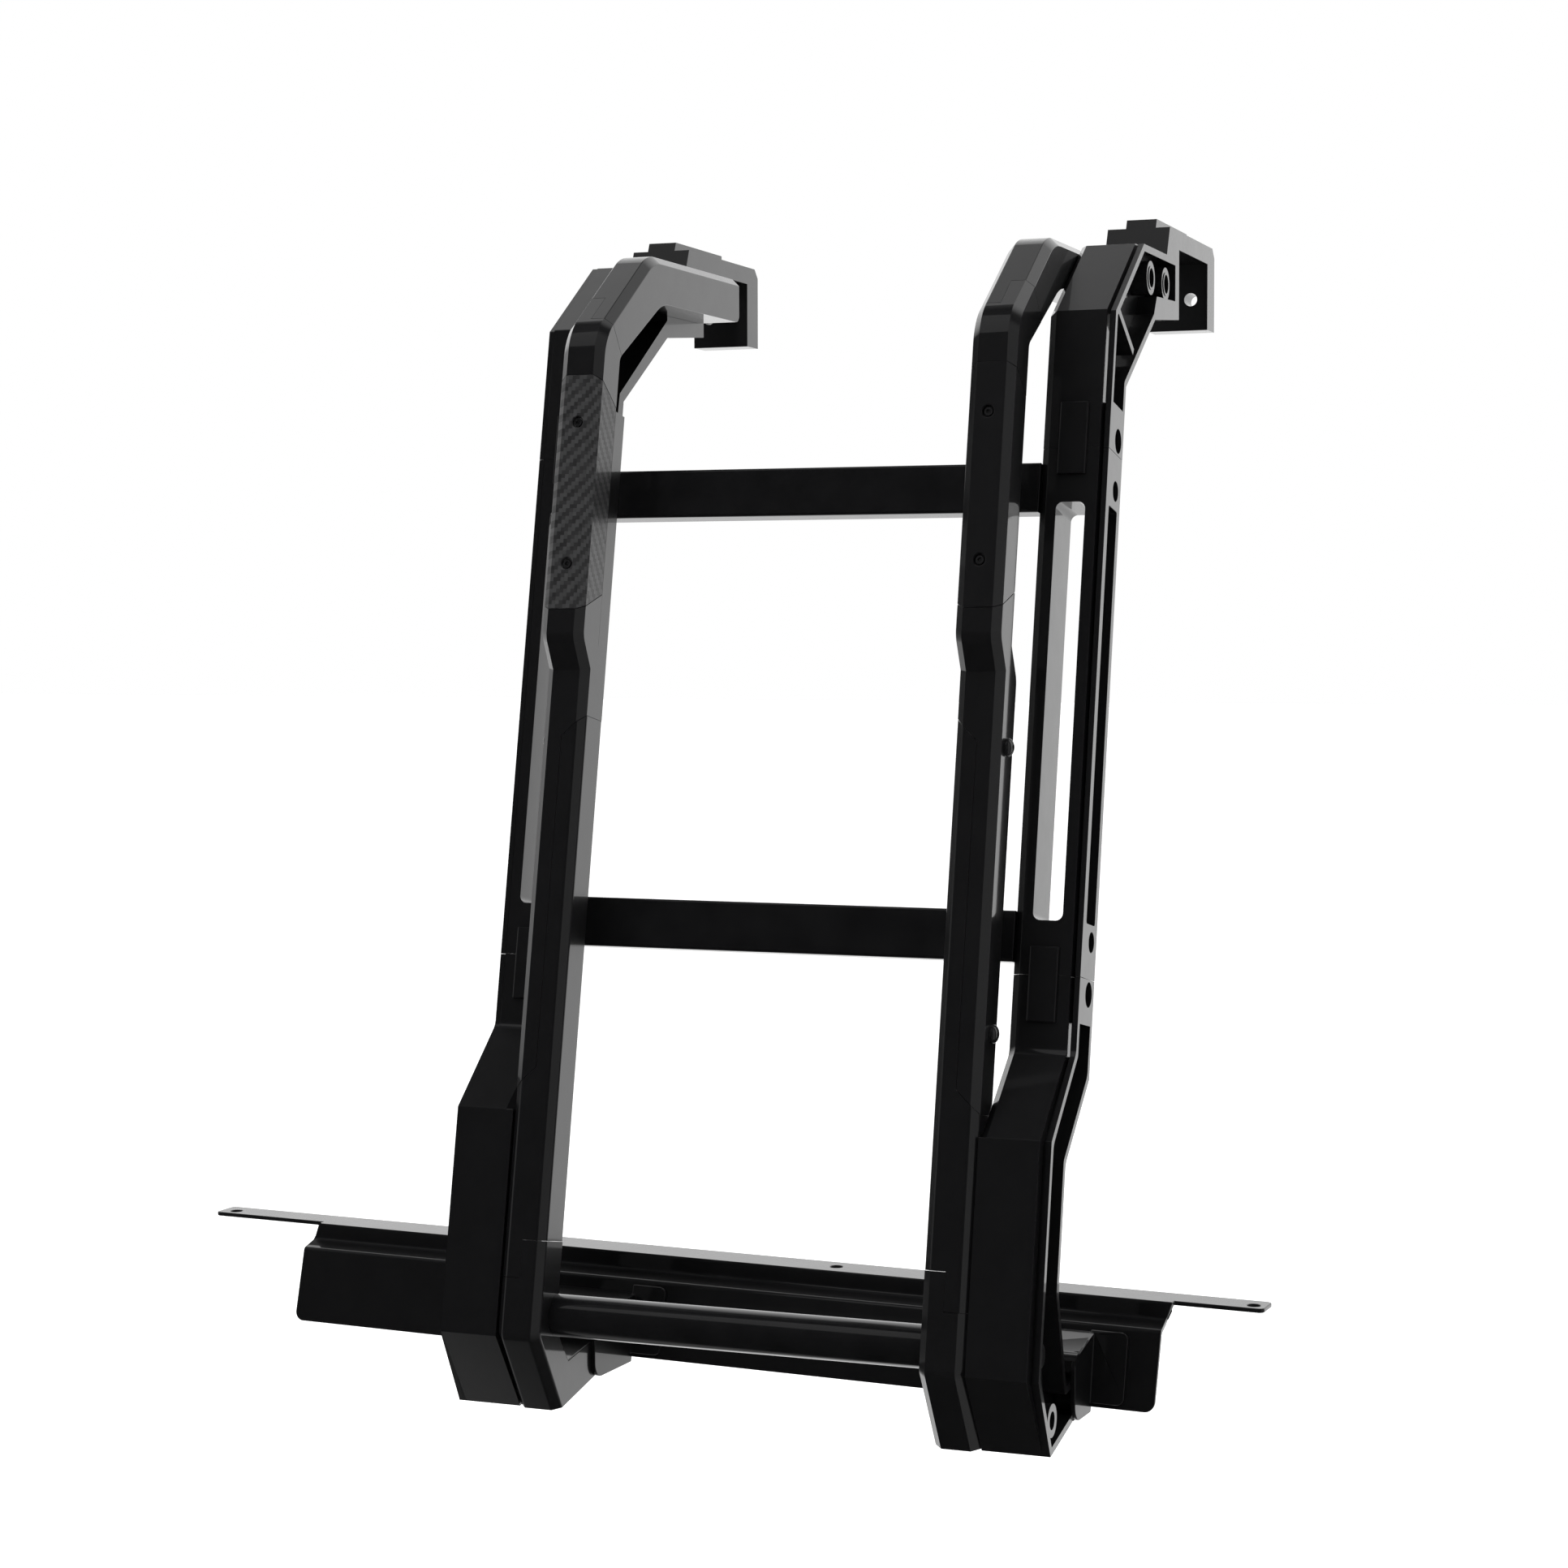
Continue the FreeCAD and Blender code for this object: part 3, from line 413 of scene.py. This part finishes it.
def coated(name, mesh, slot, nodes):
    """A finished piece with its edges rounded, which stands for the given CAD nodes."""
    mesh.polygons.foreach_set("use_smooth", [True] * len(mesh.polygons))
    mesh.set_sharp_from_angle(angle=SHARP)
    piece = placed(name, mesh)
    edges = piece.modifiers.new("edges", "BEVEL")
    edges.width = EDGE[slot]
    edges.segments = EDGE_STEPS
    edges.limit_method = "WEIGHT"
    edges.use_clamp_overlap = slot != "sheet_black"
    even = piece.modifiers.new("even", "WEIGHTED_NORMAL")
    even.mode = "FACE_AREA"
    even.weight = 100
    even.keep_sharp = True
    mesh.materials.clear()
    mesh.materials.append(SLOT_MATERIAL[slot])
    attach(piece, "root")
    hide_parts(*nodes)
    return piece


GRIP_SCREWS_UP = (0.6119, 0.5119)
GRIP_SCREW_X = {"left": -0.1484, "right": 0.1484}
GRIP_FRONT = -0.0465
COUNTERBORE_R = 0.0042
COUNTERBORE_DEPTH = 0.0028
CUT_SPARE = 0.002
ROUND_SIDES = 32


def cylinder(radius, at, axis, start, end):
    """Round cutter along an axis, between two distances from a point."""
    shape = bmesh.new()
    turn = axis.to_track_quat("Z", "Y").to_matrix().to_4x4()
    place = Matrix.Translation(at + axis * ((start + end) / 2)) @ turn
    bmesh.ops.create_cone(
        shape, cap_ends=True, segments=ROUND_SIDES, radius1=radius, radius2=radius,
        depth=end - start, matrix=place,
    )
    mesh = bpy.data.meshes.new("cutter")
    shape.to_mesh(mesh)
    shape.free()
    return mesh


def on_level(x, back_mm, up_mm):
    """Point measured level and upright from the foot tube's axis."""
    return TUBE + Vector((x, back_mm / 1000, up_mm / 1000))


def prism(points, x0, x1):
    """Block between two widths, with a side outline of (back, up) in mm from the foot tube's axis."""
    shape = bmesh.new()
    rings = []
    for x in (x0, x1):
        rings.append([shape.verts.new(on_level(x, back, up)) for back, up in points])
    for i in range(len(points)):
        j = (i + 1) % len(points)
        shape.faces.new((rings[0][i], rings[0][j], rings[1][j], rings[1][i]))
    shape.faces.new(list(reversed(rings[0])))
    shape.faces.new(rings[1])
    bmesh.ops.recalc_face_normals(shape, faces=shape.faces)
    mesh = bpy.data.meshes.new("prism")
    shape.to_mesh(mesh)
    shape.free()
    return mesh


# Outer castings: faces inboard and outboard, and the roof arm's sill, pocket and bosses
OUTER_X0 = 0.1653
OUTER_X1 = 0.2116
ARM_SILL = [
    (270, 684.5), (276, 687.5), (346, 694), (346, 730), (337.5, 730), (337.5, 704), (281, 702),
]
ARM_SILL_X = 0.197
ARM_INBOARD_POCKET = [
    (168, 620), (172, 678), (243, 724), (276, 724), (276, 698), (186, 637), (181, 618),
]
ARM_INBOARD_DEPTH = 0.02
ARM_BOSSES = [(264.5, 713.5), (309, 713.5)]
BOSS_R = 0.012
BOSS_SPAN = (-0.0145, -0.0005)
BOSS_HOLE_R = 0.0068
BOSS_HOLE_DEPTH = 0.012

UP = Vector((0, 0, 1))
HOOK_SCREWS_X = (0.173, 0.2055)
HOOK_SCREW_BACK = 0.440
HOOK_ROOF = 0.756
HOOK_SCREW_R = 0.004
HOOK_SCREW_DEPTH = 0.004


def hook_screw_spots(sign):
    """Where the two screws go down into a hook's back leg."""
    return [TUBE + Vector((sign * x, HOOK_SCREW_BACK, HOOK_ROOF)) for x in HOOK_SCREWS_X]


def arm_casting(side):
    """Roof arm and rack hook as one casting, with larger bosses, a deeper sill and a pocket inboard."""
    sign = -1 if side == "left" else 1
    outboard = Vector((sign, 0, 0))
    mesh = combined(node_mesh(side + "_roof_arm"), [node_mesh(side + "_rack_hook")], "UNION")
    mesh = combined(mesh, [prism(ARM_SILL, sign * ARM_SILL_X, sign * OUTER_X1)], "UNION")
    spots = [on_level(sign * OUTER_X1, back, up) for back, up in ARM_BOSSES]
    bosses = [cylinder(BOSS_R, spot, outboard, *BOSS_SPAN) for spot in spots]
    mesh = combined(mesh, bosses, "UNION")
    holes = [cylinder(BOSS_HOLE_R, spot, outboard, -BOSS_HOLE_DEPTH, CUT_SPARE) for spot in spots]
    holes += [
        cylinder(HOOK_SCREW_R, spot, UP, -HOOK_SCREW_DEPTH, CUT_SPARE) for spot in hook_screw_spots(sign)
    ]
    inboard_x = (sign * (OUTER_X0 - CUT_SPARE), sign * (OUTER_X0 + ARM_INBOARD_DEPTH))
    return combined(mesh, holes + [prism(ARM_INBOARD_POCKET, *inboard_x)], "DIFFERENCE")


# Lower leg: its inboard face, the bevel of its cheek, and how faces are told apart
LEG_X0 = 0.1706
LEG_CHEEK_BEVEL = 0.0055
SIDEWAYS = 0.99
ON_FACE = 0.0003
FORWARD = 0.6


def leg_casting(node):
    """Lower leg carried inboard as far as the rail above it, with the same front bevel."""
    shape = bmesh.new()
    shape.from_mesh(node_mesh(node))
    bmesh.ops.dissolve_limit(shape, angle_limit=FLAT, verts=shape.verts, edges=shape.edges)
    side_faces = [face for face in shape.faces if abs(face.normal.x) > SIDEWAYS]
    flat = [face for face in side_faces if abs(abs(face.calc_center_median().x) - LEG_X0) < ON_FACE]
    grown = bmesh.ops.extrude_face_region(shape, geom=flat)["geom"]
    bmesh.ops.delete(shape, geom=flat, context="FACES_ONLY")
    shape.normal_update()
    moved = [item for item in grown if isinstance(item, bmesh.types.BMVert)]
    front = [v for v in moved if max(-f.normal.dot(ACROSS) for f in v.link_faces) > FORWARD]
    for vert in moved:
        vert.co.x += math.copysign(LEG_X0 - OUTER_X0, -vert.co.x)
    for vert in front:
        vert.co += ACROSS * LEG_CHEEK_BEVEL
    bmesh.ops.recalc_face_normals(shape, faces=shape.faces)
    mesh = bpy.data.meshes.new(node)
    shape.to_mesh(mesh)
    shape.free()
    return mesh


pieces = {}
for part in frame["record"]["subparts"]:
    node = part["node"]
    slot = part["material_slot"]
    side = node.split("_")[0]
    if kind(node) == "rack_hook":
        continue
    mesh = node_mesh(node)
    stands_for = [node]
    if kind(node) == "roof_arm":
        mesh = arm_casting(side)
        stands_for.append(side + "_rack_hook")
    if kind(node) == "outer_lower_leg":
        mesh = leg_casting(node)
    if kind(node) == "grip_panel":
        spots = [on_rail(GRIP_SCREW_X[side], GRIP_FRONT, up) for up in GRIP_SCREWS_UP]
        bores = [cylinder(COUNTERBORE_R, at, ACROSS, -CUT_SPARE, COUNTERBORE_DEPTH) for at in spots]
        mesh = combined(mesh, bores, "DIFFERENCE")
    if slot == "sheet_black":
        mesh = bent_sheet(node, mesh)
    mesh = cleaned(mesh, FOLD.get(kind(node), 0), stands_for)
    pieces[node] = coated(node + "_coated", mesh, slot, stands_for)
# The right grip panel is drawn in plain gloss black, darker than the left one and without its twill.
pieces["right_grip_panel"].data.materials[0] = plain_grip


# Fasteners

HEX = math.pi / 3
HEAD_SHARP = math.radians(35)


def turned(name, at, axis, profile, socket):
    """Turned head about an axis: rings of (radius, height), closed by a six-sided socket."""
    shape = bmesh.new()
    turn = axis.to_track_quat("Z", "Y").to_matrix()
    angles = [2 * math.pi * i / ROUND_SIDES for i in range(ROUND_SIDES)]

    def ring_vert(angle, radius, height):
        around = Vector((radius * math.cos(angle), radius * math.sin(angle), height))
        return shape.verts.new(at + turn @ around)

    rings = []
    for radius, height in profile:
        rings.append([ring_vert(angle, radius, height) for angle in angles])
    socket_radius, socket_depth = socket
    top = profile[-1][1]
    for depth in (0, socket_depth):
        ring = []
        for angle in angles:
            reach = socket_radius / math.cos((angle + HEX / 2) % HEX - HEX / 2)
            ring.append(ring_vert(angle, reach, top - depth))
        rings.append(ring)
    for lower, upper in zip(rings, rings[1:]):
        for i in range(ROUND_SIDES):
            j = (i + 1) % ROUND_SIDES
            shape.faces.new((lower[i], lower[j], upper[j], upper[i]))
    shape.faces.new(rings[-1])
    shape.faces.new(list(reversed(rings[0])))
    mesh = bpy.data.meshes.new(name)
    shape.to_mesh(mesh)
    shape.free()
    mesh.polygons.foreach_set("use_smooth", [True] * len(mesh.polygons))
    mesh.set_sharp_from_angle(angle=HEAD_SHARP)
    mesh.materials.append(bolt_black_and_sheen)
    piece = placed(name, mesh)
    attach(piece, "root")


SKIRT_SHARE = 0.25
CROWN_ANGLES = (0.25, 0.5, 0.75, 1.0, 1.2)


def dome(radius, height):
    """Profile of a domed head: a short skirt, then a round crown."""
    skirt = height * SKIRT_SHARE
    rise = height - skirt
    crown = [(radius * math.cos(a), skirt + rise * math.sin(a)) for a in CROWN_ANGLES]
    return [(radius, 0), (radius, skirt)] + crown


SCREW_HEAD = [(0.0030, 0.0), (0.0030, 0.0011), (0.0027, 0.0015)]
SCREW_SOCKET = (0.0015, 0.0012)
RAIL_BOLT_HEAD = dome(0.0062, 0.005)
RAIL_BOLT_SOCKET = (0.0021, 0.0016)
RAIL_BOLT_X = 0.1649
RAIL_BOLTS = ((-0.0141, 0.3924), (-0.011, 0.204))

for side in ("left", "right"):
    for i, up in enumerate(GRIP_SCREWS_UP):
        seat = on_rail(GRIP_SCREW_X[side], GRIP_FRONT, up) + ACROSS * COUNTERBORE_DEPTH
        turned(f"{side}_grip_screw_{i + 1}", seat, -ACROSS, SCREW_HEAD, SCREW_SOCKET)
for side, sign in (("left", -1), ("right", 1)):
    for i, spot in enumerate(hook_screw_spots(sign)):
        seat = spot - UP * HOOK_SCREW_DEPTH
        turned(f"{side}_hook_screw_{i + 1}", seat, UP, SCREW_HEAD, SCREW_SOCKET)
    for i, (out, up) in enumerate(RAIL_BOLTS):
        seat = on_rail(sign * RAIL_BOLT_X, out, up)
        outboard = Vector((sign, 0, 0))
        turned(f"{side}_rail_bolt_{i + 1}", seat, outboard, RAIL_BOLT_HEAD, RAIL_BOLT_SOCKET)


# Stage: pale floor and a white surround that is dark on the viewer's side

def smooth(nodes, links, value, start, end):
    node = nodes.new("ShaderNodeMapRange")
    node.interpolation_type = "SMOOTHSTEP"
    node.inputs["From Min"].default_value = start
    node.inputs["From Max"].default_value = end
    links.new(value, node.inputs["Value"])
    return node.outputs["Result"]


SIDE_GLOW = 0.28
FLOOR_Z = -0.42
FLOOR_HALF = 30
FLOOR_GREY = 0.85
FLOOR_GLOW = 0.72
LEAST_REACH = 0.001


def behind(nodes, links, vector):
    """Brightness by direction, and the height: one behind, SIDE_GLOW at the sides, none in front."""
    split = nodes.new("ShaderNodeSeparateXYZ")
    links.new(vector, split.inputs[0])
    square_x = math_node(nodes, links, "MULTIPLY", split.outputs["X"], split.outputs["X"])
    square_y = math_node(nodes, links, "MULTIPLY", split.outputs["Y"], split.outputs["Y"])
    reach = math_node(nodes, links, "SQRT", math_node(nodes, links, "ADD", square_x, square_y))
    reach = math_node(nodes, links, "MAXIMUM", reach, LEAST_REACH)
    share = math_node(nodes, links, "DIVIDE", split.outputs["Y"], reach)
    aside = math_node(nodes, links, "DIVIDE", split.outputs["X"], reach)
    wide = math_node(nodes, links, "ABSOLUTE", aside)
    not_behind = math_node(nodes, links, "SUBTRACT", 1.0, smooth(nodes, links, share, 0.0, 0.2))
    side = math_node(nodes, links, "MULTIPLY", smooth(nodes, links, wide, 0.7, 0.95), not_behind)
    side = math_node(nodes, links, "MULTIPLY", side, SIDE_GLOW)
    bright = math_node(nodes, links, "ADD", smooth(nodes, links, share, 0.3, 0.6), side)
    return bright, split.outputs["Z"]


floor_mesh = bpy.data.meshes.new("floor")
floor_corners = [
    (x * FLOOR_HALF, y * FLOOR_HALF, FLOOR_Z) for x, y in ((-1, -1), (1, -1), (1, 1), (-1, 1))
]
floor_mesh.from_pydata(floor_corners, [], [(0, 1, 2, 3)])
floor = placed("floor", floor_mesh)
floor_material = bpy.data.materials.new("pale_floor")
floor_material.use_nodes = True
floor_nodes = floor_material.node_tree.nodes
floor_links = floor_material.node_tree.links
floor_nodes.clear()
matte = floor_nodes.new("ShaderNodeBsdfDiffuse")
matte.inputs["Color"].default_value = (FLOOR_GREY, FLOOR_GREY, FLOOR_GREY, 1)
glow = floor_nodes.new("ShaderNodeEmission")
path = floor_nodes.new("ShaderNodeLightPath")
ground = floor_nodes.new("ShaderNodeTexCoord").outputs["Object"]
bright, _ = behind(floor_nodes, floor_links, ground)
seen_glow = math_node(floor_nodes, floor_links, "MULTIPLY", path.outputs["Is Camera Ray"], FLOOR_GLOW)
floor_links.new(seen_glow, glow.inputs["Strength"])
lit = floor_nodes.new("ShaderNodeAddShader")
floor_links.new(matte.outputs[0], lit.inputs[0])
floor_links.new(glow.outputs[0], lit.inputs[1])
mirrored = floor_nodes.new("ShaderNodeEmission")
floor_links.new(bright, mirrored.inputs["Strength"])
both = floor_nodes.new("ShaderNodeMixShader")
floor_links.new(path.outputs["Is Glossy Ray"], both.inputs["Fac"])
floor_links.new(lit.outputs[0], both.inputs[1])
floor_links.new(mirrored.outputs[0], both.inputs[2])
floor_out = floor_nodes.new("ShaderNodeOutputMaterial")
floor_links.new(both.outputs[0], floor_out.inputs["Surface"])
floor_mesh.materials.append(floor_material)

world = bpy.data.worlds.new("studio")
world.use_nodes = True
bpy.context.scene.world = world
sky = world.node_tree.nodes
sky_links = world.node_tree.links
sky.clear()
direction = sky.new("ShaderNodeTexCoord").outputs["Generated"]
back_share, sky_height = behind(sky, sky_links, direction)
overhead = smooth(sky, sky_links, sky_height, 0.65, 1.0)
open_share = math_node(sky, sky_links, "SUBTRACT", 1.0, overhead)
soft = sky.new("ShaderNodeBackground")
soft.inputs["Color"].default_value = (1, 1, 1, 1)
sky_links.new(math_node(sky, sky_links, "MULTIPLY", back_share, open_share), soft.inputs["Strength"])
white = sky.new("ShaderNodeBackground")
white.inputs["Color"].default_value = (1, 1, 1, 1)
white.inputs["Strength"].default_value = 1.0
sky_path = sky.new("ShaderNodeLightPath")
choose = sky.new("ShaderNodeMixShader")
sky_links.new(sky_path.outputs["Is Camera Ray"], choose.inputs["Fac"])
sky_links.new(soft.outputs[0], choose.inputs[1])
sky_links.new(white.outputs[0], choose.inputs[2])
sky_out = sky.new("ShaderNodeOutputWorld")
sky_links.new(choose.outputs[0], sky_out.inputs["Surface"])


def softbox(name, at, aim, width, watts, mirrored):
    """Area lamp aimed at a point; one that isn't mirrored doesn't show in the gloss."""
    data = bpy.data.lights.new(name, "AREA")
    data.shape = "SQUARE"
    data.size = width
    data.energy = watts
    lamp = bpy.data.objects.new(name, data)
    lamp.location = at
    lamp.rotation_euler = (Vector(aim) - Vector(at)).to_track_quat("-Z", "Y").to_euler()
    lamp.visible_glossy = mirrored
    bpy.context.scene.collection.objects.link(lamp)


OBJECT_MIDDLE = (0, 0, 0.3)
softbox("top_softbox", (0.3, -0.4, 2.6), OBJECT_MIDDLE, 1.6, 12, False)
softbox("key_softbox", (-0.55, -1.3, 2.6), (0.1, 0.1, 0.7), 1.7, 3.4, True)
softbox("front_softbox", (-1.0, -2.6, 1.5), OBJECT_MIDDLE, 1.6, 23, False)
softbox("right_softbox", (2.6, -0.6, 1.3), OBJECT_MIDDLE, 1.4, 22, False)
softbox("back_softbox", (0.6, 2.8, 1.5), OBJECT_MIDDLE, 1.4, 22, False)

ROOM_LIGHT = 1.3
ROOM_SPREAD = math.radians(60)
ROOM_LIGHT_WAY = Vector((0.3, 0.6, -1.0))

sun_data = bpy.data.lights.new("room_light", "SUN")
sun_data.energy = ROOM_LIGHT
sun_data.angle = ROOM_SPREAD
sun = bpy.data.objects.new("room_light", sun_data)
sun.rotation_euler = ROOM_LIGHT_WAY.to_track_quat("-Z", "Y").to_euler()
sun.visible_glossy = False
bpy.context.scene.collection.objects.link(sun)

bpy.context.scene.view_settings.view_transform = "Standard"
